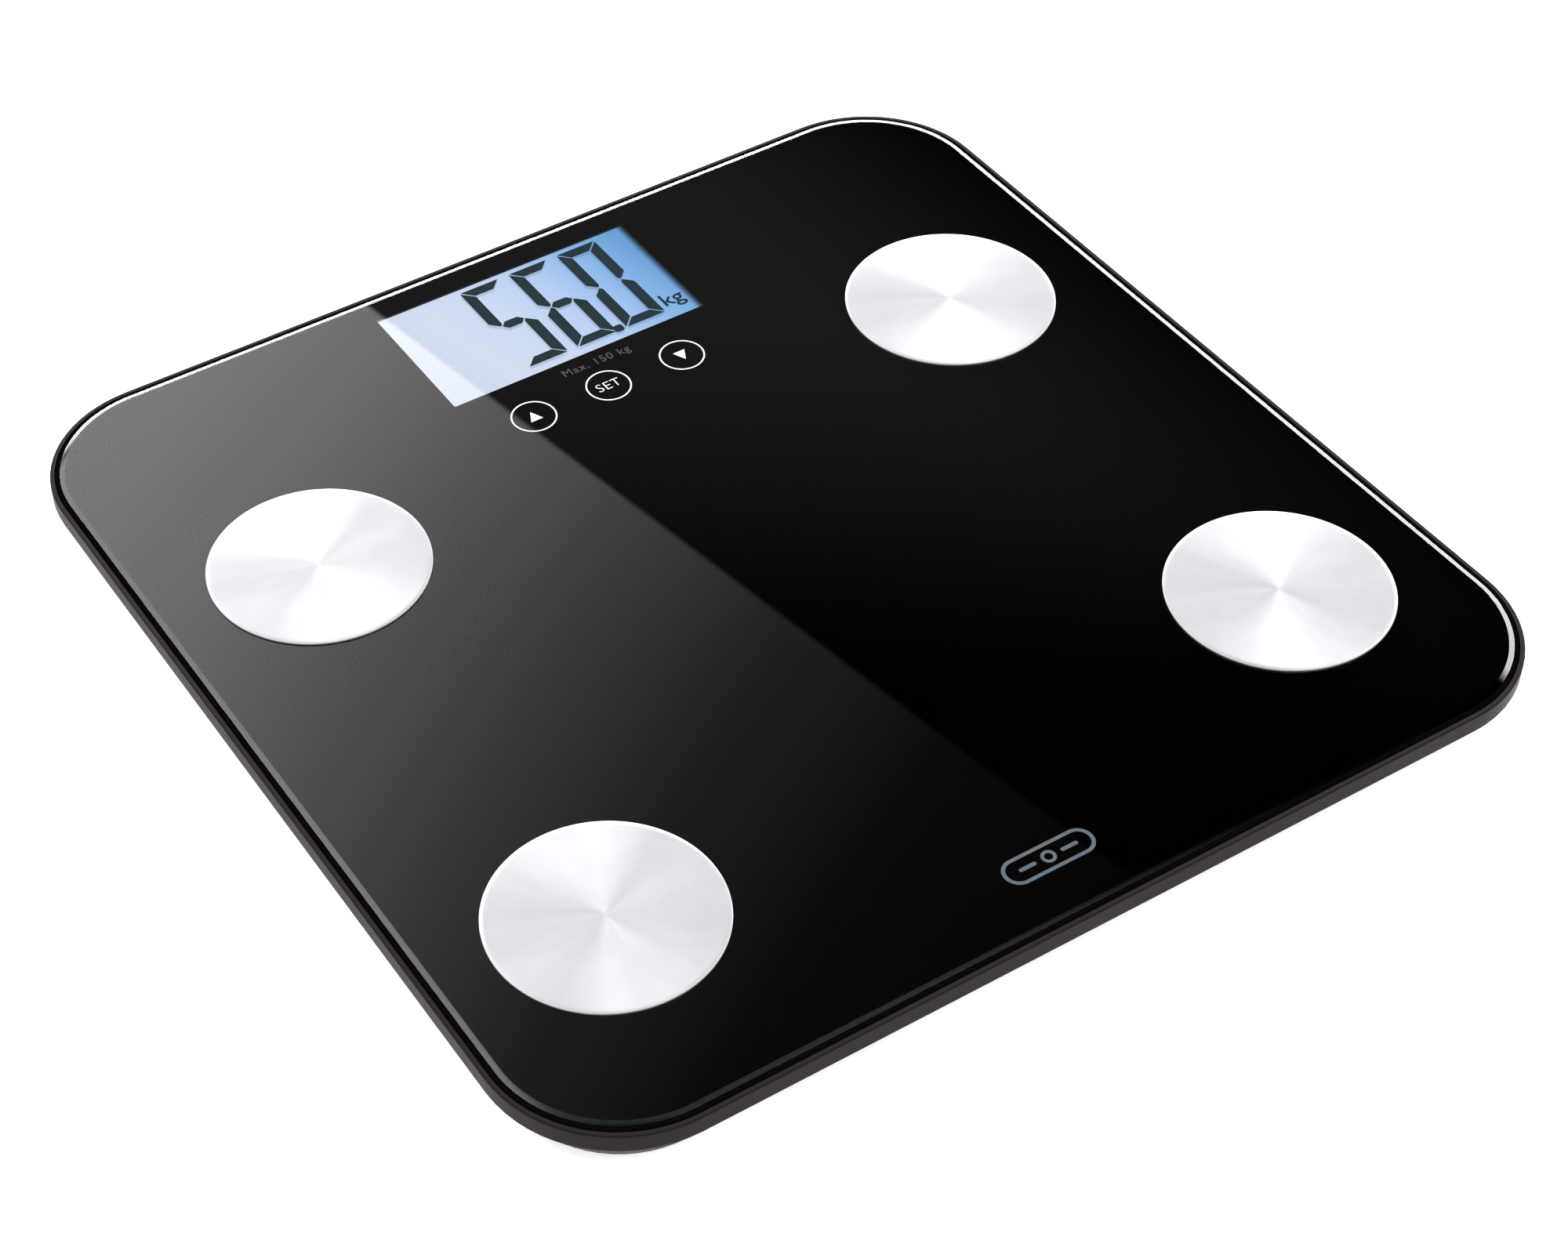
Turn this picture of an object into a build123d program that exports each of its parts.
"""Digital bathroom scale with a glass platform, four electrodes and four sprung feet.

The scale stands on the ground plane Z = 0 with its centre on the Z axis. +X is the user's
right, +Y points to the edge that carries the display, and +Z is up. Sizes are millimetres.
"""

import os
from math import radians, sqrt, tan

from build123d import *

os.makedirs("parts", exist_ok=True)

# ---------------------------------------------------------------- overall size
scale_width = 300.0
scale_depth = 300.0
corner_radius = 36.0

# ---------------------------------------------------------------- base tray
ground_gap = 5.0
tray_wall = 2.2
skirt_height = 11.2
skirt_inset = 7.5
skirt_rounding = 1.0
lip_thickness = 1.3
lip_drop = 0.6
lip_rounding = 0.45
shelf_width = 4.0
shelf_thickness = 2.0
well_rib_thickness = 1.2
label_width = 70.0
label_depth = 34.0
label_recess = 0.4
groove_inset = 17.0
groove_width = 1.6
groove_depth = 0.5

# ---------------------------------------------------------------- glass platform
glass_thickness = 5.0
bevel_width = 1.8
bevel_drop = 0.3
arris = 0.4
tape_thickness = 0.5

# ---------------------------------------------------------------- electrodes
electrode_radius = 30.0
electrode_thickness = 0.4
electrode_edge = 0.15
electrode_side_inset = 48.0
electrode_rear_inset = 94.0
electrode_front_inset = 61.5
electrode_tape_thickness = 0.1
electrode_tape_inner = 8.0
electrode_tape_margin = 1.0
stud_radius = 2.0
stud_tip = 1.0
nut_radius = 3.6
nut_thickness = 2.4
terminal_thickness = 0.6
terminal_radius = 3.4
crimp_length = 4.0
crimp_width = 2.4
crimp_height = 1.6
crimp_reach = 10.0

# ---------------------------------------------------------------- display
window_width = 82.0
window_depth = 45.0
window_rear_margin = 9.7
window_shift = 2.2
display_margin = 2.0
gasket_thickness = 0.6
gasket_setback = 0.5
polariser_thickness = 0.2
lcd_thickness = 2.2
guide_thickness = 2.0
reflector_thickness = 0.2
holder_wall = 1.4
contact_strip_depth = 1.8
contact_strip_inset = 4.0
led_length = 3.0
led_width = 4.0
led_height = 1.6
led_pitch = 13.0
led_count = 3

# ---------------------------------------------------------------- main board
board_thickness = 1.6
board_half_width = 54.0
board_front_margin = 11.3
board_rear_margin = 1.0
board_screw_inset = 4.0
key_pitch = 24.3
key_shift = 1.8
key_row_gap = 15.7
key_post_radius = 4.0
key_post_flange = 4.6
key_post_flange_height = 0.8
chip_size = 10.0
chip_height = 1.2
small_part_height = 0.9
socket_depth = 5.0
socket_width = 8.0
socket_height = 3.4
socket_plug_level = 1.6
cell_socket_offset = 34.0
electrode_socket_offset = 17.0
rear_cell_socket_shift = -11.5
rear_electrode_socket_shift = -25.5

# ---------------------------------------------------------------- unit button
button_x = 30.0
button_forward = 15.0
button_radius = 3.5
button_flange_radius = 4.6
button_flange_height = 0.6
button_proud = 0.3
button_travel = 0.5
button_guide_gap = 0.08
switch_size = 4.6
switch_body_height = 1.15
switch_plunger_radius = 1.2
switch_plunger_height = 0.45

# ---------------------------------------------------------------- load cells and feet
foot_side_gap = 18.5
foot_end_inset = 35.0
foot_radius = 19.5
foot_rounding = 1.0
foot_flange_width = 2.0
foot_flange_height = 1.2
foot_travel = 0.6
foot_web = 1.6
foot_rib_count = 6
foot_rib_thickness = 1.2
foot_wall = 2.0
foot_post_radius = 4.0
pad_rim = 3.0
pad_thickness = 2.2
pad_proud = 1.2
pad_edge = 0.5
pad_groove_inset = 5.5
pad_groove_width = 1.2
pad_groove_depth = 0.6
cell_size = 34.0
cell_thickness = 2.0
cell_corner = 6.0
cell_lift = 3.4
cell_frame_width = 4.0
cell_slot = 2.0
cell_tongue_width = 16.0
cell_root = 9.0
gauge_length = 6.0
gauge_width = 8.0
gauge_height = 2.0
carrier_wall = 3.9
carrier_corner = 8.0
carrier_skirt = 0.6
carrier_ledge = 3.6
carrier_nib = 1.0
carrier_nib_width = 8.0
carrier_lug_radius = 4.0
carrier_lug_height = 2.5
carrier_screw_room = 0.85
lead_notch_width = 4.0
lead_notch_height = 3.0

# ---------------------------------------------------------------- battery bay
bay_gap = 37.0
bay_wall = 2.6
bay_roof = 1.5
coin_radius = 10.0
coin_thickness = 3.2
coin_shoulder = 1.2
coin_step = 0.3
coin_gap = 3.2
contact_thickness = 0.3
contact_width = 7.0
contact_tab_width = 3.0
contact_tab_height = 1.6
door_thickness = 1.6
door_ledge = 2.3
door_latch_ledge = 4.0
door_hinge_reach = 4.6
door_rib_thickness = 1.6
door_rib_length = 14.0
hinge_pin_radius = 1.0
hinge_pin_length = 2.4
latch_width = 10.0
latch_thickness = 1.3
latch_height = 3.0
latch_setback = 0.6
grip_count = 4
grip_pitch = 1.6
grip_width = 0.7
grip_length = 14.0
grip_height = 0.3
thumb_radius = 8.0
thumb_depth = 1.1

# ---------------------------------------------------------------- screws and leads
boss_radius = 2.8
screw_radius = 1.0
screw_head_radius = 2.1
screw_head_height = 1.3
screw_drive_radius = 0.8
screw_drive_depth = 0.7
screw_tip_depth = 0.7
lead_radius = 0.9
thin_lead_radius = 0.7
lead_bend = 8.0
lead_floor_gap = 0.1

# ---------------------------------------------------------------- clearances
glass_gap = 0.2
hole_gap = 0.6
foot_gap = 0.35
seat_gap = 0.05
stop_gap = 0.05
fit_gap = 0.1
door_gap = 0.25
door_swing_gap = 0.4
pin_gap = 0.06
thread_gap = 0.05
screw_gap = 0.3

# ---------------------------------------------------------------- levels above the ground
# The room inside is what the unit button, the board and the display need above one another.
floor_top = ground_gap + tray_wall
flange_bottom = floor_top + seat_gap
switch_plunger_bottom = flange_bottom + button_flange_height + button_travel + stop_gap
switch_body_bottom = switch_plunger_bottom + switch_plunger_height
board_bottom = switch_body_bottom + switch_body_height
board_top = board_bottom + board_thickness
guide_bottom = board_top + reflector_thickness
guide_top = guide_bottom + guide_thickness
lcd_bottom = guide_top + polariser_thickness
lcd_top = lcd_bottom + lcd_thickness
gasket_bottom = lcd_top + polariser_thickness
glass_bottom = gasket_bottom + gasket_thickness
glass_top = glass_bottom + glass_thickness
lip_top = glass_top - lip_drop
tape_bottom = glass_bottom - tape_thickness
cell_bottom = floor_top + cell_lift
cell_top = cell_bottom + cell_thickness
carrier_bottom = cell_bottom - carrier_skirt
carrier_lug_top = carrier_bottom + carrier_lug_height
flange_top = flange_bottom + foot_flange_height
post_top = cell_bottom - foot_travel - stop_gap
plug_level = board_top + socket_plug_level
gauge_level = cell_top + gauge_height / 2
screw_tip = floor_top - screw_tip_depth

# ---------------------------------------------------------------- sizes that follow from others
foot_flange_radius = foot_radius + foot_flange_width
foot_well_radius = foot_flange_radius + foot_gap
pad_radius = foot_radius - pad_rim
pad_groove_radius = pad_radius - pad_groove_inset
skirt_slope = skirt_inset / skirt_height
skirt_shift = tray_wall * (sqrt(1 + skirt_slope**2) - 1)
hollow_skirt_height = skirt_height - tray_wall + skirt_shift / skirt_slope
hollow_skirt_inset = hollow_skirt_height * skirt_slope
coin_spacing = 2 * coin_radius + coin_gap
coin_step_radius = coin_radius - coin_shoulder
carrier_pocket = cell_size + 2 * fit_gap
carrier_size = carrier_pocket + 2 * carrier_wall
carrier_opening = cell_size - 2 * carrier_ledge
carrier_screw_reach = foot_well_radius + boss_radius + carrier_screw_room

# ---------------------------------------------------------------- places in plan
lip_inner_width = scale_width - 2 * lip_thickness
lip_inner_depth = scale_depth - 2 * lip_thickness
lip_inner_corner = corner_radius - lip_thickness
glass_width = lip_inner_width - 2 * glass_gap
glass_depth = lip_inner_depth - 2 * glass_gap
glass_corner = lip_inner_corner - glass_gap

window_y = scale_depth / 2 - window_rear_margin - window_depth / 2
window_front = window_y - window_depth / 2
lcd_width = window_width + 2 * display_margin
lcd_depth = window_depth + 2 * display_margin
key_y = window_front - key_row_gap
key_xs = [key_shift - key_pitch, key_shift, key_shift + key_pitch]

board_front = key_y - board_front_margin
board_rear = window_y + lcd_depth / 2 - board_rear_margin
board_centre_y = (board_front + board_rear) / 2
board_depth = board_rear - board_front
board_screw_x = board_half_width - board_screw_inset
board_screws_at = [
    (side * board_screw_x, y)
    for side in (-1, 1)
    for y in (board_front + board_screw_inset, board_rear - board_screw_inset)
]
rear_socket_x = board_half_width - socket_depth / 2
front_socket_y = board_front + socket_depth / 2 + 1
cell_socket_y = window_y + rear_cell_socket_shift
electrode_socket_y = window_y + rear_electrode_socket_shift
button_y = window_y - button_forward

foot_x = scale_width / 2 - foot_side_gap - foot_radius
foot_y = scale_depth / 2 - foot_end_inset
electrode_x = scale_width / 2 - electrode_side_inset
electrode_rear_y = scale_depth / 2 - electrode_rear_inset
electrode_front_y = electrode_front_inset - scale_depth / 2

# Each corner is its name, its side in X and its end in Y.
corners = [
    ("front_left", -1, -1),
    ("front_right", 1, -1),
    ("rear_left", -1, 1),
    ("rear_right", 1, 1),
]


def electrode_place(side, end):
    """Return the centre of one corner's electrode in plan."""
    return (side * electrode_x, electrode_rear_y if end > 0 else electrode_front_y)


def corner_plane(side, end, level):
    """Return a level plane at one foot, with its X axis pointing at the scale's middle line."""
    return Plane(
        origin=(side * foot_x, end * foot_y, level), x_dir=(-side, 0, 0), z_dir=(0, 0, 1)
    )


def carrier_screw_places(side, end):
    """Return the carrier's two screw places, in the axes of its corner plane."""
    reach = carrier_screw_reach / sqrt(2)
    return [(reach, side * end * reach), (-reach, -side * end * reach)]


foot_places = [(side * foot_x, end * foot_y) for _, side, end in corners]
electrode_places = [electrode_place(side, end) for _, side, end in corners]
carrier_screws_at = [
    (side * (foot_x - u), end * foot_y - side * v)
    for _, side, end in corners
    for u, v in carrier_screw_places(side, end)
]

# ---------------------------------------------------------------- battery bay in plan
bay_inner_width = coin_spacing + 2 * coin_radius + 4 * fit_gap + 2 * contact_thickness + 2.8
bay_inner_depth = 2 * coin_radius + 2.4
door_width = bay_inner_width + 2 * door_ledge
bay_block_width = door_width + 2 * (door_gap + hinge_pin_length + fit_gap) + 1.0
bay_block_rear = board_front - bay_gap
hinge_barrel_radius = door_thickness
bay_y = bay_block_rear - bay_wall - hinge_barrel_radius - door_hinge_reach - bay_inner_depth / 2
hinge_y = bay_y + bay_inner_depth / 2 + door_hinge_reach - door_swing_gap
hinge_z = ground_gap + hinge_barrel_radius
door_front = bay_y - bay_inner_depth / 2 - door_latch_ledge
bay_block_front = door_front - door_gap - bay_wall
coin_bottom = ground_gap + door_thickness + 1.8
coin_top = coin_bottom + coin_thickness
bay_ceiling = coin_top + contact_thickness
bay_top = bay_ceiling + bay_roof
contact_tab_top = bay_top + contact_tab_height

# ================================================================ glass platform
with BuildPart() as glass_platform:
    with BuildSketch(Plane.XY.offset(glass_bottom)):
        RectangleRounded(glass_width, glass_depth, glass_corner)
    extrude(amount=glass_thickness - bevel_drop)
    chamfer(glass_platform.edges().group_by(Axis.Z)[0], arris)
    with BuildSketch(Plane.XY.offset(glass_top - bevel_drop)):
        RectangleRounded(glass_width, glass_depth, glass_corner)
    with BuildSketch(Plane.XY.offset(glass_top)):
        RectangleRounded(
            glass_width - 2 * bevel_width, glass_depth - 2 * bevel_width, glass_corner - bevel_width
        )
    loft()
    with BuildSketch(Plane.XY.offset(glass_bottom)):
        with Locations(*electrode_places):
            Circle(stud_radius + hole_gap)
    extrude(amount=glass_thickness, mode=Mode.SUBTRACT)
glass_platform.part.label = "glass_platform"
export_step(glass_platform.part, "parts/glass_platform.step")

# ================================================================ platform bond tape
tape_outer_width = lip_inner_width - 2 * glass_gap - 2 * arris
tape_outer_depth = lip_inner_depth - 2 * glass_gap - 2 * arris
tape_outer_corner = glass_corner - arris
with BuildPart() as platform_tape:
    with BuildSketch(Plane.XY.offset(tape_bottom)):
        RectangleRounded(tape_outer_width, tape_outer_depth, tape_outer_corner)
        RectangleRounded(
            tape_outer_width - 2 * shelf_width,
            tape_outer_depth - 2 * shelf_width,
            tape_outer_corner - shelf_width,
            mode=Mode.SUBTRACT,
        )
    extrude(amount=tape_thickness)
platform_tape.part.label = "platform_tape"
export_step(platform_tape.part, "parts/platform_tape.step")

# ================================================================ base tray
# The hollow of the tray: a bowl with sloping sides below the shelf and a straight recess for
# the glass.
with BuildPart() as tray_hollow:
    with BuildSketch(Plane.XY.offset(floor_top)):
        RectangleRounded(
            scale_width - 2 * tray_wall, scale_depth - 2 * tray_wall, corner_radius - tray_wall
        )
    extrude(amount=glass_top - floor_top)
    hollow_floor = tray_hollow.faces().sort_by(Axis.Z)[0]
    chamfer(hollow_floor.edges(), hollow_skirt_inset, hollow_skirt_height, reference=hollow_floor)
    with BuildSketch(Plane.XY.offset(tape_bottom)):
        RectangleRounded(lip_inner_width, lip_inner_depth, lip_inner_corner)
    extrude(amount=glass_top - tape_bottom)

with BuildPart() as base_tray:
    with BuildSketch(Plane.XY.offset(ground_gap)):
        RectangleRounded(scale_width, scale_depth, corner_radius)
    extrude(amount=lip_top - ground_gap)
    fillet(base_tray.edges().group_by(Axis.Z)[-1], lip_rounding)
    # The skirt slopes in under the side, out of sight from above.
    tray_floor = base_tray.faces().sort_by(Axis.Z)[0]
    chamfer(tray_floor.edges(), skirt_inset, skirt_height, reference=tray_floor)
    skirt_levels = base_tray.edges().group_by(Axis.Z)
    fillet(skirt_levels[0] + skirt_levels[2], skirt_rounding)
    add(tray_hollow.part, mode=Mode.SUBTRACT)
    # The shelf that the glass is taped to.
    with BuildSketch(Plane.XY.offset(tape_bottom - shelf_thickness)):
        RectangleRounded(lip_inner_width, lip_inner_depth, lip_inner_corner)
        RectangleRounded(
            tape_outer_width - 2 * shelf_width,
            tape_outer_depth - 2 * shelf_width,
            tape_outer_corner - shelf_width,
            mode=Mode.SUBTRACT,
        )
    extrude(amount=shelf_thickness)
    # Round walls that guide the feet's flanges, and the posts that take every screw.
    with BuildSketch(Plane.XY.offset(ground_gap + groove_depth)):
        with Locations(*foot_places):
            Circle(foot_well_radius + well_rib_thickness)
        with Locations(*carrier_screws_at):
            Circle(boss_radius)
    extrude(amount=carrier_bottom - ground_gap - groove_depth)
    with BuildSketch(Plane.XY.offset(floor_top)):
        with Locations(*foot_places):
            Circle(foot_well_radius)
    extrude(amount=carrier_bottom - floor_top, mode=Mode.SUBTRACT)
    with BuildSketch(Plane.XY.offset(ground_gap + groove_depth)):
        with Locations(*board_screws_at):
            Circle(boss_radius)
    extrude(amount=board_bottom - ground_gap - groove_depth)
    # The battery bay: a block with the cells' pocket, the door's seat and the hinge's groove.
    bay_block_y = (bay_block_front + bay_block_rear) / 2
    bay_block_depth = bay_block_rear - bay_block_front
    with BuildSketch(Plane.XY.offset(ground_gap)):
        with Locations((0, bay_block_y)):
            Rectangle(bay_block_width, bay_block_depth)
    extrude(amount=bay_top - ground_gap)
    with BuildSketch(Plane.XY.offset(ground_gap)):
        with Locations((0, bay_y)):
            Rectangle(bay_inner_width, bay_inner_depth)
    extrude(amount=bay_ceiling - ground_gap, mode=Mode.SUBTRACT)
    seat_front = door_front - door_gap
    seat_rear = hinge_y + hinge_barrel_radius + door_swing_gap
    with BuildSketch(Plane.XY.offset(ground_gap)):
        with Locations((0, (seat_front + seat_rear) / 2)):
            Rectangle(door_width + 2 * door_gap, seat_rear - seat_front)
    extrude(amount=door_thickness + fit_gap, mode=Mode.SUBTRACT)
    groove_front = hinge_y - hinge_barrel_radius - door_swing_gap
    with BuildSketch(Plane.XY.offset(ground_gap)):
        with Locations((0, (groove_front + seat_rear) / 2)):
            Rectangle(door_width + 2 * door_gap, seat_rear - groove_front)
    extrude(amount=2 * hinge_barrel_radius + door_swing_gap, mode=Mode.SUBTRACT)
    bore_span = door_width + 2 * (door_gap + hinge_pin_length + fit_gap)
    with BuildSketch(Plane.YZ.offset(-bore_span / 2)):
        with Locations((hinge_y, hinge_z)):
            Circle(hinge_pin_radius + pin_gap)
    extrude(amount=bore_span, mode=Mode.SUBTRACT)
    # The slot that the door's latch tab stands in, and the scoop for a thumb.
    latch_slot_depth = latch_thickness + latch_setback + door_gap + 2 * door_swing_gap
    with BuildSketch(Plane.XY.offset(ground_gap)):
        with Locations((0, seat_front + latch_slot_depth / 2)):
            Rectangle(latch_width + 2 * door_gap, latch_slot_depth)
    extrude(amount=door_thickness + latch_height + door_swing_gap, mode=Mode.SUBTRACT)
    with BuildSketch(Plane.XY.offset(ground_gap)):
        with Locations((0, seat_front)):
            Circle(thumb_radius)
        with Locations((0, seat_front + thumb_radius)):
            Rectangle(2 * thumb_radius, 2 * thumb_radius, mode=Mode.SUBTRACT)
    extrude(amount=thumb_depth, taper=-20, mode=Mode.SUBTRACT)
    # Slots in the bay's roof for the two contacts' tabs.
    with BuildSketch(Plane.XY.offset(bay_ceiling)):
        with Locations((-coin_spacing / 2, bay_y), (coin_spacing / 2, bay_y)):
            Rectangle(contact_thickness + 2 * fit_gap, contact_tab_width + 2 * fit_gap)
    extrude(amount=bay_roof, mode=Mode.SUBTRACT)
    # Holes through the floor for the feet and the unit button, and pilot holes for screws.
    with BuildSketch(Plane.XY.offset(ground_gap)):
        with Locations(*foot_places):
            Circle(foot_radius + foot_gap)
        with Locations((button_x, button_y)):
            Circle(button_radius + button_guide_gap)
    extrude(amount=tray_wall, mode=Mode.SUBTRACT)
    with BuildSketch(Plane.XY.offset(screw_tip - stop_gap)):
        with Locations(*carrier_screws_at, *board_screws_at):
            Circle(screw_radius + thread_gap)
    extrude(amount=board_bottom - screw_tip + stop_gap, mode=Mode.SUBTRACT)
    # Marks on the underside: a line that follows the edge, and a plain recess for a label.
    with BuildSketch(Plane.XY.offset(ground_gap)):
        RectangleRounded(
            scale_width - 2 * groove_inset, scale_depth - 2 * groove_inset, corner_radius - groove_inset
        )
        RectangleRounded(
            scale_width - 2 * (groove_inset + groove_width),
            scale_depth - 2 * (groove_inset + groove_width),
            corner_radius - groove_inset - groove_width,
            mode=Mode.SUBTRACT,
        )
        with Locations(*foot_places):
            Circle(foot_well_radius + groove_width, mode=Mode.SUBTRACT)
    extrude(amount=groove_depth, mode=Mode.SUBTRACT)
    label_y = bay_block_front - label_depth
    with BuildSketch(Plane.XY.offset(ground_gap)):
        with Locations((0, label_y)):
            RectangleRounded(label_width, label_depth, groove_width)
    extrude(amount=label_recess, mode=Mode.SUBTRACT)
base_tray.part.label = "base_tray"
export_step(base_tray.part, "parts/base_tray.step")

# ================================================================ electrodes
for corner, side, end in corners:
    place = electrode_place(side, end)
    with BuildPart() as electrode:
        with BuildSketch(Plane.XY.offset(glass_top + electrode_tape_thickness)):
            with Locations(place):
                Circle(electrode_radius)
        extrude(amount=electrode_thickness)
        fillet(electrode.edges().group_by(Axis.Z)[-1], electrode_edge)
        stud_bottom = glass_bottom - terminal_thickness - nut_thickness - stud_tip
        with BuildSketch(Plane.XY.offset(stud_bottom)):
            with Locations(place):
                Circle(stud_radius)
        extrude(amount=glass_top + electrode_tape_thickness - stud_bottom)
    electrode.part.label = f"electrode_{corner}"
    export_step(electrode.part, f"parts/electrode_{corner}.step")

with BuildPart() as electrode_tapes:
    with BuildSketch(Plane.XY.offset(glass_top)):
        with Locations(*electrode_places):
            Circle(electrode_radius - electrode_tape_margin)
            Circle(electrode_tape_inner, mode=Mode.SUBTRACT)
    extrude(amount=electrode_tape_thickness)
electrode_tapes.part.label = "electrode_tapes"
export_step(electrode_tapes.part, "parts/electrode_tapes.step")

# A ring terminal lies under the glass at each stud, with its crimp towards the middle line.
with BuildPart() as electrode_terminals:
    for _, side, end in corners:
        x, y = electrode_place(side, end)
        with BuildSketch(Plane.XY.offset(glass_bottom - terminal_thickness)):
            with Locations((x, y)):
                Circle(terminal_radius)
            with Locations((x - side * (crimp_reach - crimp_length) / 2, y)):
                Rectangle(crimp_reach - crimp_length, crimp_width)
            with Locations((x, y)):
                Circle(stud_radius + thread_gap, mode=Mode.SUBTRACT)
        extrude(amount=terminal_thickness)
        with BuildSketch(Plane.XY.offset(glass_bottom - crimp_height)):
            with Locations((x - side * (crimp_reach - crimp_length / 2), y)):
                Rectangle(crimp_length, crimp_width)
        extrude(amount=crimp_height)
electrode_terminals.part.label = "electrode_terminals"
export_step(electrode_terminals.part, "parts/electrode_terminals.step")

with BuildPart() as electrode_nuts:
    with BuildSketch(Plane.XY.offset(glass_bottom - terminal_thickness - nut_thickness)):
        with Locations(*electrode_places):
            RegularPolygon(nut_radius, 6)
            Circle(stud_radius + thread_gap, mode=Mode.SUBTRACT)
    extrude(amount=nut_thickness)
electrode_nuts.part.label = "electrode_nuts"
export_step(electrode_nuts.part, "parts/electrode_nuts.step")

# ================================================================ display
with BuildPart() as display_gasket:
    with BuildSketch(Plane.XY.offset(gasket_bottom)):
        with Locations((window_shift, window_y)):
            Rectangle(lcd_width, lcd_depth)
            Rectangle(
                window_width + 2 * gasket_setback,
                window_depth + 2 * gasket_setback,
                mode=Mode.SUBTRACT,
            )
    extrude(amount=gasket_thickness)
display_gasket.part.label = "display_gasket"
export_step(display_gasket.part, "parts/display_gasket.step")

with BuildPart() as lcd_front_polariser:
    with BuildSketch(Plane.XY.offset(lcd_top)):
        with Locations((window_shift, window_y)):
            Rectangle(lcd_width, lcd_depth)
    extrude(amount=polariser_thickness)
lcd_front_polariser.part.label = "lcd_front_polariser"
export_step(lcd_front_polariser.part, "parts/lcd_front_polariser.step")

with BuildPart() as lcd_cell:
    with BuildSketch(Plane.XY.offset(lcd_bottom)):
        with Locations((window_shift, window_y)):
            Rectangle(lcd_width, lcd_depth)
    extrude(amount=lcd_thickness)
lcd_cell.part.label = "lcd_cell"
export_step(lcd_cell.part, "parts/lcd_cell.step")

# Behind the cell the light guide leaves room for the contact strip and the lamps.
guide_front = window_y - lcd_depth / 2 + contact_strip_depth + 2 * fit_gap
guide_rear = window_y + lcd_depth / 2
guide_left = window_shift - lcd_width / 2 + led_length + 2 * fit_gap
guide_right = window_shift + lcd_width / 2
guide_centre = ((guide_left + guide_right) / 2, (guide_front + guide_rear) / 2)
guide_size = (guide_right - guide_left, guide_rear - guide_front)

with BuildPart() as lcd_rear_polariser:
    with BuildSketch(Plane.XY.offset(guide_top)):
        with Locations(guide_centre):
            Rectangle(*guide_size)
    extrude(amount=polariser_thickness)
lcd_rear_polariser.part.label = "lcd_rear_polariser"
export_step(lcd_rear_polariser.part, "parts/lcd_rear_polariser.step")

with BuildPart() as backlight_guide:
    with BuildSketch(Plane.XY.offset(guide_bottom)):
        with Locations(guide_centre):
            Rectangle(*guide_size)
    extrude(amount=guide_thickness)
backlight_guide.part.label = "backlight_guide"
export_step(backlight_guide.part, "parts/backlight_guide.step")

with BuildPart() as backlight_reflector:
    with BuildSketch(Plane.XY.offset(board_top)):
        with Locations(guide_centre):
            Rectangle(*guide_size)
    extrude(amount=reflector_thickness)
backlight_reflector.part.label = "backlight_reflector"
export_step(backlight_reflector.part, "parts/backlight_reflector.step")

with BuildPart() as backlight_lamps:
    with BuildSketch(Plane.XY.offset(board_top)):
        with Locations((guide_left - fit_gap - led_length / 2, guide_centre[1])):
            with GridLocations(0, led_pitch, 1, led_count):
                Rectangle(led_length, led_width)
    extrude(amount=led_height)
backlight_lamps.part.label = "backlight_lamps"
export_step(backlight_lamps.part, "parts/backlight_lamps.step")

with BuildPart() as lcd_contact_strip:
    with BuildSketch(Plane.XY.offset(board_top)):
        with Locations((window_shift, guide_front - fit_gap - contact_strip_depth / 2)):
            Rectangle(lcd_width - 2 * contact_strip_inset, contact_strip_depth)
    extrude(amount=lcd_bottom - board_top)
lcd_contact_strip.part.label = "lcd_contact_strip"
export_step(lcd_contact_strip.part, "parts/lcd_contact_strip.step")

with BuildPart() as display_holder:
    with BuildSketch(Plane.XY.offset(board_top)):
        with Locations((window_shift, window_y)):
            Rectangle(
                lcd_width + 2 * (fit_gap + holder_wall), lcd_depth + 2 * (fit_gap + holder_wall)
            )
            Rectangle(lcd_width + 2 * fit_gap, lcd_depth + 2 * fit_gap, mode=Mode.SUBTRACT)
    extrude(amount=gasket_bottom - board_top)
display_holder.part.label = "display_holder"
export_step(display_holder.part, "parts/display_holder.step")

# ================================================================ main board
with BuildPart() as main_board:
    with BuildSketch(Plane.XY.offset(board_bottom)):
        with Locations((0, board_centre_y)):
            Rectangle(2 * board_half_width, board_depth)
        with Locations(*board_screws_at):
            Circle(screw_radius + screw_gap, mode=Mode.SUBTRACT)
    extrude(amount=board_thickness)
main_board.part.label = "main_board"
export_step(main_board.part, "parts/main_board.step")

with BuildPart() as controller_chip:
    with BuildSketch(Plane.XY.offset(board_bottom - chip_height)):
        with Locations((-button_x / 2, window_y)):
            Rectangle(chip_size, chip_size)
    extrude(amount=chip_height)
controller_chip.part.label = "controller_chip"
export_step(controller_chip.part, "parts/controller_chip.step")

with BuildPart() as board_components:
    with BuildSketch(Plane.XY.offset(board_bottom - small_part_height)):
        with Locations((-button_x / 2, window_y - chip_size * 1.6)):
            with GridLocations(4.0, 3.2, 5, 3):
                Rectangle(2.0, 1.25)
        with Locations((-button_x / 2, window_y + chip_size)):
            with GridLocations(7.0, 0, 3, 1):
                Rectangle(5.0, 3.2)
    extrude(amount=small_part_height)
board_components.part.label = "board_components"
export_step(board_components.part, "parts/board_components.step")

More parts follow.
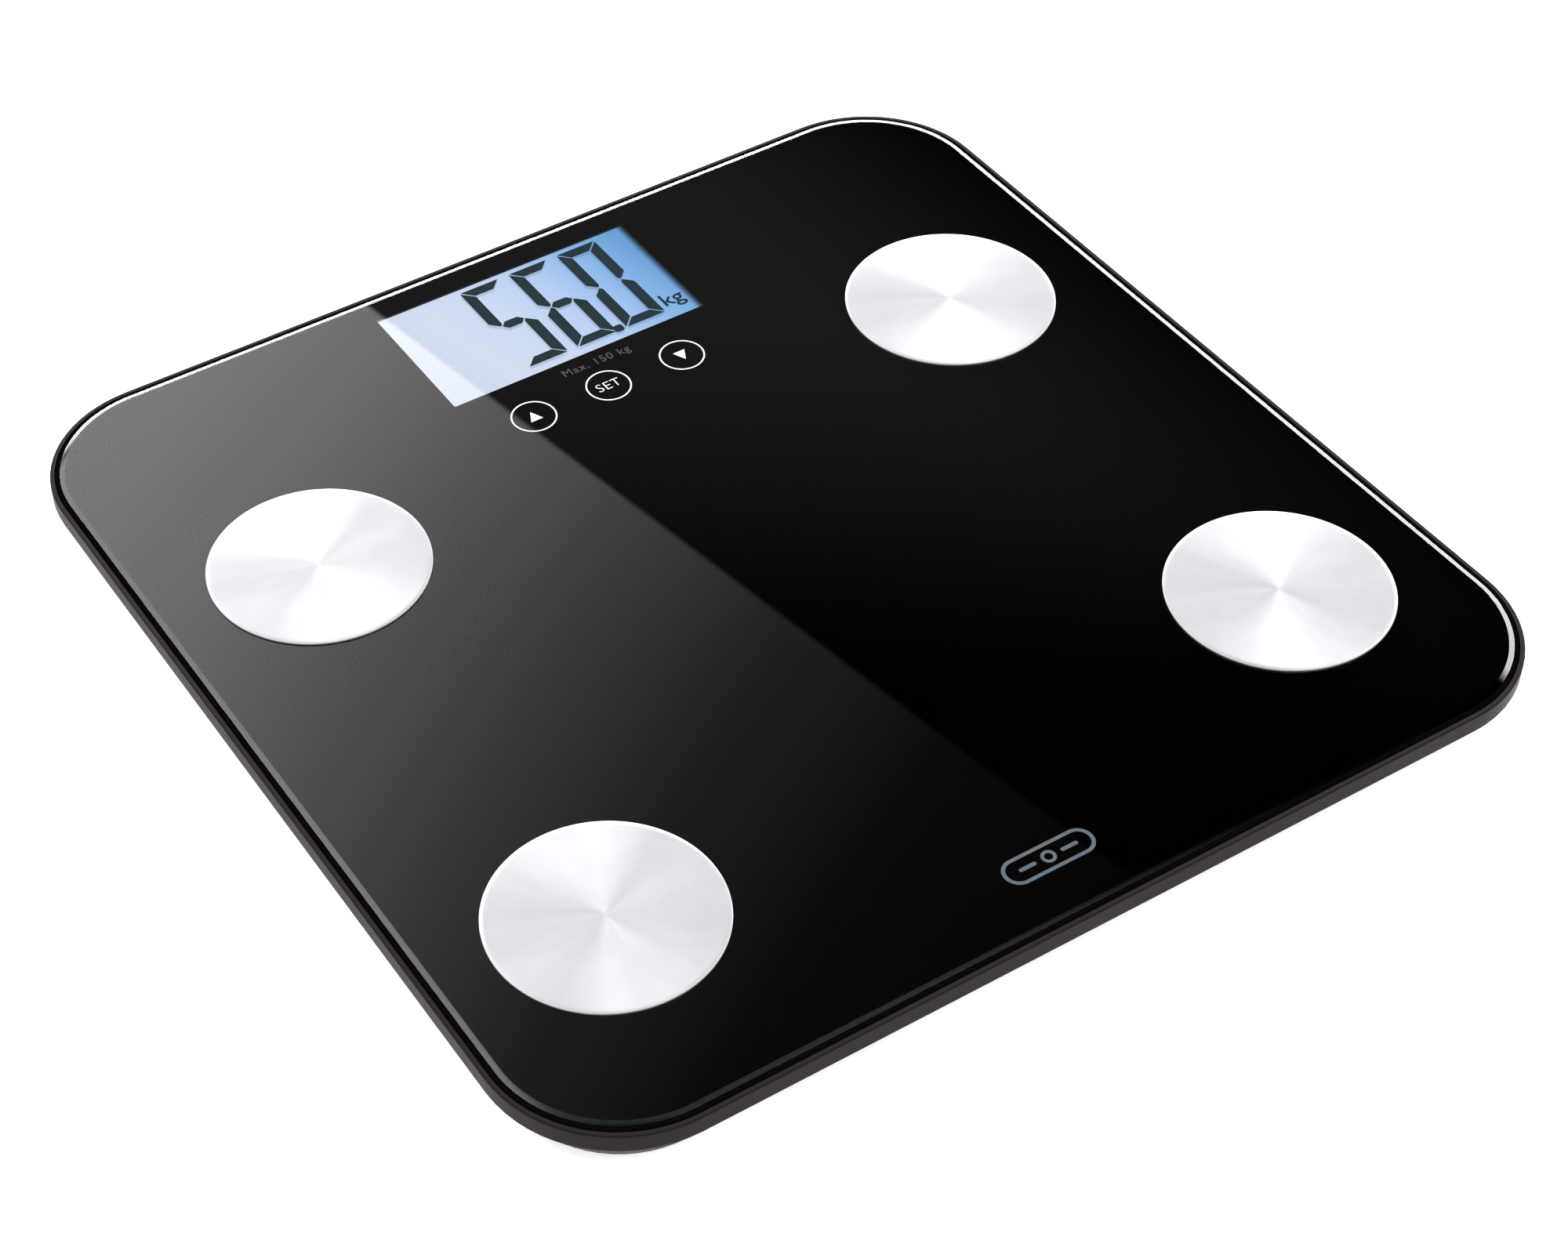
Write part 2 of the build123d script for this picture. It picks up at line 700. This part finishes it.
with BuildPart() as lead_sockets:
    with BuildSketch(Plane.XY.offset(board_top)):
        with Locations(
            (-cell_socket_offset, front_socket_y),
            (-electrode_socket_offset, front_socket_y),
            (0, front_socket_y),
            (electrode_socket_offset, front_socket_y),
            (cell_socket_offset, front_socket_y),
        ):
            Rectangle(socket_width, socket_depth)
        with Locations(
            (-rear_socket_x, cell_socket_y),
            (-rear_socket_x, electrode_socket_y),
            (rear_socket_x, cell_socket_y),
            (rear_socket_x, electrode_socket_y),
        ):
            Rectangle(socket_depth, socket_width)
    extrude(amount=socket_height)
lead_sockets.part.label = "lead_sockets"
export_step(lead_sockets.part, "parts/lead_sockets.step")

for key, key_x in zip(("left", "middle", "right"), key_xs):
    with BuildPart() as touch_post:
        with BuildSketch(Plane.XY.offset(board_top)):
            with Locations((key_x, key_y)):
                Circle(key_post_flange)
        extrude(amount=key_post_flange_height)
        with BuildSketch(Plane.XY.offset(board_top)):
            with Locations((key_x, key_y)):
                Circle(key_post_radius)
        extrude(amount=glass_bottom - board_top)
    touch_post.part.label = f"touch_post_{key}"
    export_step(touch_post.part, f"parts/touch_post_{key}.step")

# ================================================================ screws
for screw_node, places, seat in (
    ("board_screws", board_screws_at, board_top),
    ("carrier_screws", carrier_screws_at, carrier_lug_top),
):
    with BuildPart() as screws:
        with BuildSketch(Plane.XY.offset(screw_tip)):
            with Locations(*places):
                Circle(screw_radius)
        extrude(amount=seat - screw_tip)
        with BuildSketch(Plane.XY.offset(seat)):
            with Locations(*places):
                Circle(screw_head_radius)
        extrude(amount=screw_head_height)
        with BuildSketch(Plane.XY.offset(seat + screw_head_height - screw_drive_depth)):
            with Locations(*places):
                RegularPolygon(screw_drive_radius, 6)
        extrude(amount=screw_drive_depth, mode=Mode.SUBTRACT)
    screws.part.label = screw_node
    export_step(screws.part, f"parts/{screw_node}.step")

# ================================================================ unit button and its switch
with BuildPart() as unit_button:
    with BuildSketch(Plane.XY.offset(ground_gap - button_proud)):
        with Locations((button_x, button_y)):
            Circle(button_radius)
    extrude(amount=flange_bottom + button_flange_height - ground_gap + button_proud)
    fillet(unit_button.edges().group_by(Axis.Z)[0], button_proud)
    with BuildSketch(Plane.XY.offset(flange_bottom)):
        with Locations((button_x, button_y)):
            Circle(button_flange_radius)
    extrude(amount=button_flange_height)
unit_button.part.label = "unit_button"
export_step(unit_button.part, "parts/unit_button.step")

with BuildPart() as unit_switch:
    with BuildSketch(Plane.XY.offset(switch_plunger_bottom)):
        with Locations((button_x, button_y)):
            Circle(switch_plunger_radius)
    extrude(amount=switch_plunger_height)
    with BuildSketch(Plane.XY.offset(switch_body_bottom)):
        with Locations((button_x, button_y)):
            Rectangle(switch_size, switch_size)
    extrude(amount=switch_body_height)
unit_switch.part.label = "unit_switch"
export_step(unit_switch.part, "parts/unit_switch.step")

# ================================================================ load cells
# Each cell is a steel plate with a tongue. The foot's post presses the tongue from below.
tongue_start = cell_size / 2 - cell_root
for corner, side, end in corners:
    with BuildPart() as load_cell:
        with BuildSketch(corner_plane(side, end, cell_bottom)):
            RectangleRounded(cell_size, cell_size, cell_corner)
            slot_outer = cell_size - 2 * cell_frame_width
            slot_inner = cell_tongue_width
            for across in (-1, 1):
                with Locations((tongue_start / 2 - cell_slot, across * (slot_inner + cell_slot) / 2)):
                    Rectangle(slot_outer - cell_root, cell_slot, mode=Mode.SUBTRACT)
            slot_end = tongue_start / 2 - cell_slot - (slot_outer - cell_root) / 2
            with Locations((slot_end + cell_slot / 2, 0)):
                Rectangle(cell_slot, slot_inner + 2 * cell_slot, mode=Mode.SUBTRACT)
        extrude(amount=cell_thickness)
    load_cell.part.label = f"load_cell_{corner}"
    export_step(load_cell.part, f"parts/load_cell_{corner}.step")

with BuildPart() as strain_gauges:
    for _, side, end in corners:
        with BuildSketch(corner_plane(side, end, cell_top)):
            with Locations((tongue_start, 0)):
                Rectangle(gauge_length, gauge_width)
        extrude(amount=gauge_height)
strain_gauges.part.label = "strain_gauges"
export_step(strain_gauges.part, "parts/strain_gauges.step")

# The carrier holds the cell's frame in a pocket and passes its load to the glass above.
for corner, side, end in corners:
    with BuildPart() as load_cell_carrier:
        with BuildSketch(corner_plane(side, end, carrier_bottom)):
            RectangleRounded(carrier_size, carrier_size, carrier_corner)
        extrude(amount=glass_bottom - carrier_bottom)
        with BuildSketch(corner_plane(side, end, carrier_bottom)):
            with Locations(*carrier_screw_places(side, end)):
                Circle(carrier_lug_radius)
            Rectangle(2 * carrier_screw_reach, 2 * carrier_lug_radius, rotation=45 * side * end)
        extrude(amount=carrier_lug_height)
        with BuildSketch(corner_plane(side, end, carrier_bottom)):
            RectangleRounded(carrier_pocket, carrier_pocket, cell_corner + fit_gap)
        extrude(amount=cell_top - carrier_bottom, mode=Mode.SUBTRACT)
        with BuildSketch(corner_plane(side, end, cell_top)):
            Rectangle(carrier_opening, carrier_opening)
        extrude(amount=glass_bottom - cell_top, mode=Mode.SUBTRACT)
        with BuildSketch(corner_plane(side, end, carrier_bottom)):
            nib_offset = (carrier_pocket - carrier_nib) / 2
            with Locations((0, -nib_offset), (0, nib_offset)):
                Rectangle(carrier_nib_width, carrier_nib)
        extrude(amount=carrier_skirt)
        with BuildSketch(corner_plane(side, end, cell_top)):
            with Locations((carrier_size / 2, 0)):
                Rectangle(carrier_size - carrier_opening, lead_notch_width)
        extrude(amount=lead_notch_height, mode=Mode.SUBTRACT)
        with BuildSketch(corner_plane(side, end, carrier_bottom)):
            with Locations(*carrier_screw_places(side, end)):
                Circle(screw_radius + screw_gap)
        extrude(amount=carrier_lug_height, mode=Mode.SUBTRACT)
        with BuildSketch(corner_plane(side, end, carrier_lug_top)):
            with Locations(*carrier_screw_places(side, end)):
                Circle(screw_head_radius + screw_gap)
        extrude(amount=glass_bottom - carrier_lug_top, mode=Mode.SUBTRACT)
    load_cell_carrier.part.label = f"load_cell_carrier_{corner}"
    export_step(load_cell_carrier.part, f"parts/load_cell_carrier_{corner}.step")

# ================================================================ feet
pad_top = pad_thickness
cup_bottom = pad_proud
web_top = pad_top + foot_web
for corner, side, end in corners:
    place = (side * foot_x, end * foot_y)
    with BuildPart() as foot_cup:
        with BuildSketch(Plane.XY.offset(cup_bottom)):
            with Locations(place):
                Circle(foot_radius)
        extrude(amount=flange_top - cup_bottom)
        fillet(foot_cup.edges().group_by(Axis.Z)[0], foot_rounding)
        with BuildSketch(Plane.XY.offset(flange_bottom)):
            with Locations(place):
                Circle(foot_flange_radius)
        extrude(amount=foot_flange_height)
        with BuildSketch(Plane.XY.offset(web_top)):
            with Locations(place):
                Circle(foot_radius - foot_wall)
                Circle(foot_post_radius, mode=Mode.SUBTRACT)
                with PolarLocations(0, foot_rib_count):
                    with Locations((foot_radius / 2, 0)):
                        Rectangle(foot_radius, foot_rib_thickness, mode=Mode.SUBTRACT)
        extrude(amount=flange_top - web_top, mode=Mode.SUBTRACT)
        with BuildSketch(Plane.XY.offset(flange_top)):
            with Locations(place):
                Circle(foot_post_radius)
        extrude(amount=post_top - flange_top)
        with BuildSketch(Plane.XY.offset(cup_bottom)):
            with Locations(place):
                Circle(pad_radius + fit_gap)
        extrude(amount=pad_top - cup_bottom, mode=Mode.SUBTRACT)
    foot_cup.part.label = f"foot_cup_{corner}"
    export_step(foot_cup.part, f"parts/foot_cup_{corner}.step")

    with BuildPart() as foot_pad:
        with BuildSketch(Plane.XY):
            with Locations(place):
                Circle(pad_radius)
        extrude(amount=pad_thickness)
        chamfer(foot_pad.edges().group_by(Axis.Z)[0], pad_edge)
        with BuildSketch(Plane.XY):
            with Locations(place):
                Circle(pad_groove_radius + pad_groove_width / 2)
                Circle(pad_groove_radius - pad_groove_width / 2, mode=Mode.SUBTRACT)
        extrude(amount=pad_groove_depth, mode=Mode.SUBTRACT)
    foot_pad.part.label = f"foot_pad_{corner}"
    export_step(foot_pad.part, f"parts/foot_pad_{corner}.step")

# ================================================================ battery door
with BuildPart() as battery_door:
    with BuildSketch(Plane.XY.offset(ground_gap)):
        with Locations((0, (door_front + hinge_y) / 2)):
            Rectangle(door_width, hinge_y - door_front)
    extrude(amount=door_thickness)
    with BuildSketch(Plane.YZ.offset(-door_width / 2)):
        with Locations((hinge_y, hinge_z)):
            Circle(hinge_barrel_radius)
    extrude(amount=door_width)
    pin_span = door_width + 2 * (door_gap + hinge_pin_length)
    with BuildSketch(Plane.YZ.offset(-pin_span / 2)):
        with Locations((hinge_y, hinge_z)):
            Circle(hinge_pin_radius)
    extrude(amount=pin_span)
    with BuildSketch(Plane.XY.offset(ground_gap + door_thickness)):
        with Locations((-coin_spacing / 2, bay_y), (coin_spacing / 2, bay_y)):
            Rectangle(door_rib_thickness, door_rib_length)
    extrude(amount=coin_bottom - fit_gap - ground_gap - door_thickness)
    with BuildSketch(Plane.XY.offset(ground_gap)):
        with Locations((0, door_front + latch_setback + latch_thickness / 2)):
            Rectangle(latch_width, latch_thickness)
    extrude(amount=door_thickness + latch_height)
    with BuildSketch(Plane.XY.offset(ground_gap - grip_height)):
        with Locations((0, door_front + grip_pitch * (grip_count + 1) / 2)):
            with GridLocations(0, grip_pitch, 1, grip_count):
                Rectangle(grip_length, grip_width)
    extrude(amount=grip_height)
battery_door.part.label = "battery_door"
export_step(battery_door.part, "parts/battery_door.step")

# ================================================================ coin cells and contacts
for half, side in (("left", -1), ("right", 1)):
    with BuildPart() as coin_cell:
        with BuildSketch(Plane.XY.offset(coin_bottom)):
            with Locations((side * coin_spacing / 2, bay_y)):
                Circle(coin_radius)
        extrude(amount=coin_thickness - coin_step)
        with BuildSketch(Plane.XY.offset(coin_top - coin_step)):
            with Locations((side * coin_spacing / 2, bay_y)):
                Circle(coin_step_radius)
        extrude(amount=coin_step)
    coin_cell.part.label = f"coin_cell_{half}"
    export_step(coin_cell.part, f"parts/coin_cell_{half}.step")

for pole, side in (("negative", -1), ("positive", 1)):
    with BuildPart() as battery_contact:
        with BuildSketch(Plane.XY.offset(coin_top)):
            with Locations((side * coin_spacing / 2, bay_y)):
                Rectangle(contact_width, contact_width)
        extrude(amount=contact_thickness)
        with BuildSketch(Plane.XY.offset(coin_top)):
            with Locations((side * coin_spacing / 2, bay_y)):
                Rectangle(contact_thickness, contact_tab_width)
        extrude(amount=contact_tab_top - coin_top)
    battery_contact.part.label = f"battery_contact_{pole}"
    export_step(battery_contact.part, f"parts/battery_contact_{pole}.step")

bridge_height = coin_thickness - 2 * coin_step
with BuildPart() as battery_bridge:
    with BuildSketch(Plane.XY.offset(coin_bottom + coin_step)):
        with Locations((0, bay_y)):
            Rectangle(coin_gap, contact_width)
            Rectangle(coin_gap - 2 * contact_thickness, contact_width, mode=Mode.SUBTRACT)
        with Locations((0, bay_y + contact_width / 2 + contact_thickness / 2)):
            Rectangle(coin_gap, contact_thickness)
    extrude(amount=bridge_height)
battery_bridge.part.label = "battery_bridge"
export_step(battery_bridge.part, "parts/battery_bridge.step")


# ================================================================ leads
def bend_radii(points, largest):
    """Return one radius for each corner of a route, limited by the two runs beside it."""
    radii = []
    for before, here, after in zip(points, points[1:], points[2:]):
        run_in = Vector(*here) - Vector(*before)
        run_out = Vector(*after) - Vector(*here)
        half_turn = radians(run_in.get_angle(run_out)) / 2
        shorter = min(run_in.length, run_out.length)
        radii.append(min(largest, 0.45 * shorter / tan(half_turn)))
    return radii


def lead(points, radius):
    """Return a lead of round section that follows straight runs joined by tangent arcs."""
    with BuildPart() as tube:
        with BuildLine() as route:
            FilletPolyline(*points, radius=bend_radii(points, lead_bend))
        with BuildSketch(Plane(origin=route.line @ 0, z_dir=route.line % 0)):
            Circle(radius)
        sweep()
    return tube.part


lead_channel_x = (bay_block_width / 2 + foot_x - carrier_size / 2) / 2
floor_lead_level = floor_top + lead_floor_gap + lead_radius
for corner, side, end in corners:
    start_x = side * (foot_x - tongue_start - gauge_length / 2)
    clear_x = side * (foot_x - carrier_size / 2 - 2 * lead_notch_width)
    start = [(start_x, end * foot_y, gauge_level), (clear_x, end * foot_y, gauge_level)]
    if end > 0:
        edge_x = side * board_half_width
        finish = [
            (edge_x + side * socket_depth, cell_socket_y, plug_level),
            (edge_x, cell_socket_y, plug_level),
        ]
    else:
        channel = side * lead_channel_x
        socket_x = side * cell_socket_offset
        socket_face = front_socket_y - socket_depth / 2
        finish = [
            (channel, end * foot_y + carrier_size / 2, floor_lead_level),
            (channel, board_front - bay_gap / 2, floor_lead_level),
            (socket_x, socket_face - socket_depth, plug_level),
            (socket_x, socket_face, plug_level),
        ]
    with BuildPart() as load_cell_lead:
        add(lead(start + finish, lead_radius))
    load_cell_lead.part.label = f"load_cell_lead_{corner}"
    export_step(load_cell_lead.part, f"parts/load_cell_lead_{corner}.step")

glass_lead_level = glass_bottom - lead_floor_gap - thin_lead_radius
with BuildPart() as electrode_leads:
    for _, side, end in corners:
        x, y = electrode_place(side, end)
        start = [
            (x - side * crimp_reach, y, glass_lead_level),
            (x - side * 2 * crimp_reach, y, glass_lead_level),
        ]
        if end > 0:
            edge_x = side * board_half_width
            finish = [
                (edge_x + side * socket_depth, electrode_socket_y, plug_level),
                (edge_x, electrode_socket_y, plug_level),
            ]
        else:
            channel = side * (bay_block_width / 2 + lead_channel_x) / 2
            socket_x = side * electrode_socket_offset
            socket_face = front_socket_y - socket_depth / 2
            finish = [
                (channel, y + carrier_size / 2, glass_lead_level),
                (channel, board_front - bay_gap / 2, glass_lead_level),
                (socket_x, socket_face - socket_depth, plug_level),
                (socket_x, socket_face, plug_level),
            ]
        add(lead(start + finish, thin_lead_radius))
electrode_leads.part.label = "electrode_leads"
export_step(electrode_leads.part, "parts/electrode_leads.step")

with BuildPart() as battery_leads:
    for side in (-1, 1):
        tab_x = side * (coin_spacing / 2 - contact_thickness / 2)
        tab_level = contact_tab_top - thin_lead_radius
        socket_x = side * 2 * thin_lead_radius
        socket_face = front_socket_y - socket_depth / 2
        add(
            lead(
                [
                    (tab_x, bay_y, tab_level),
                    (tab_x - side * socket_depth, bay_y, tab_level),
                    (tab_x - side * socket_depth, bay_block_rear + socket_depth, tab_level),
                    (socket_x, socket_face - socket_depth, plug_level),
                    (socket_x, socket_face, plug_level),
                ],
                thin_lead_radius,
            )
        )
battery_leads.part.label = "battery_leads"
export_step(battery_leads.part, "parts/battery_leads.step")
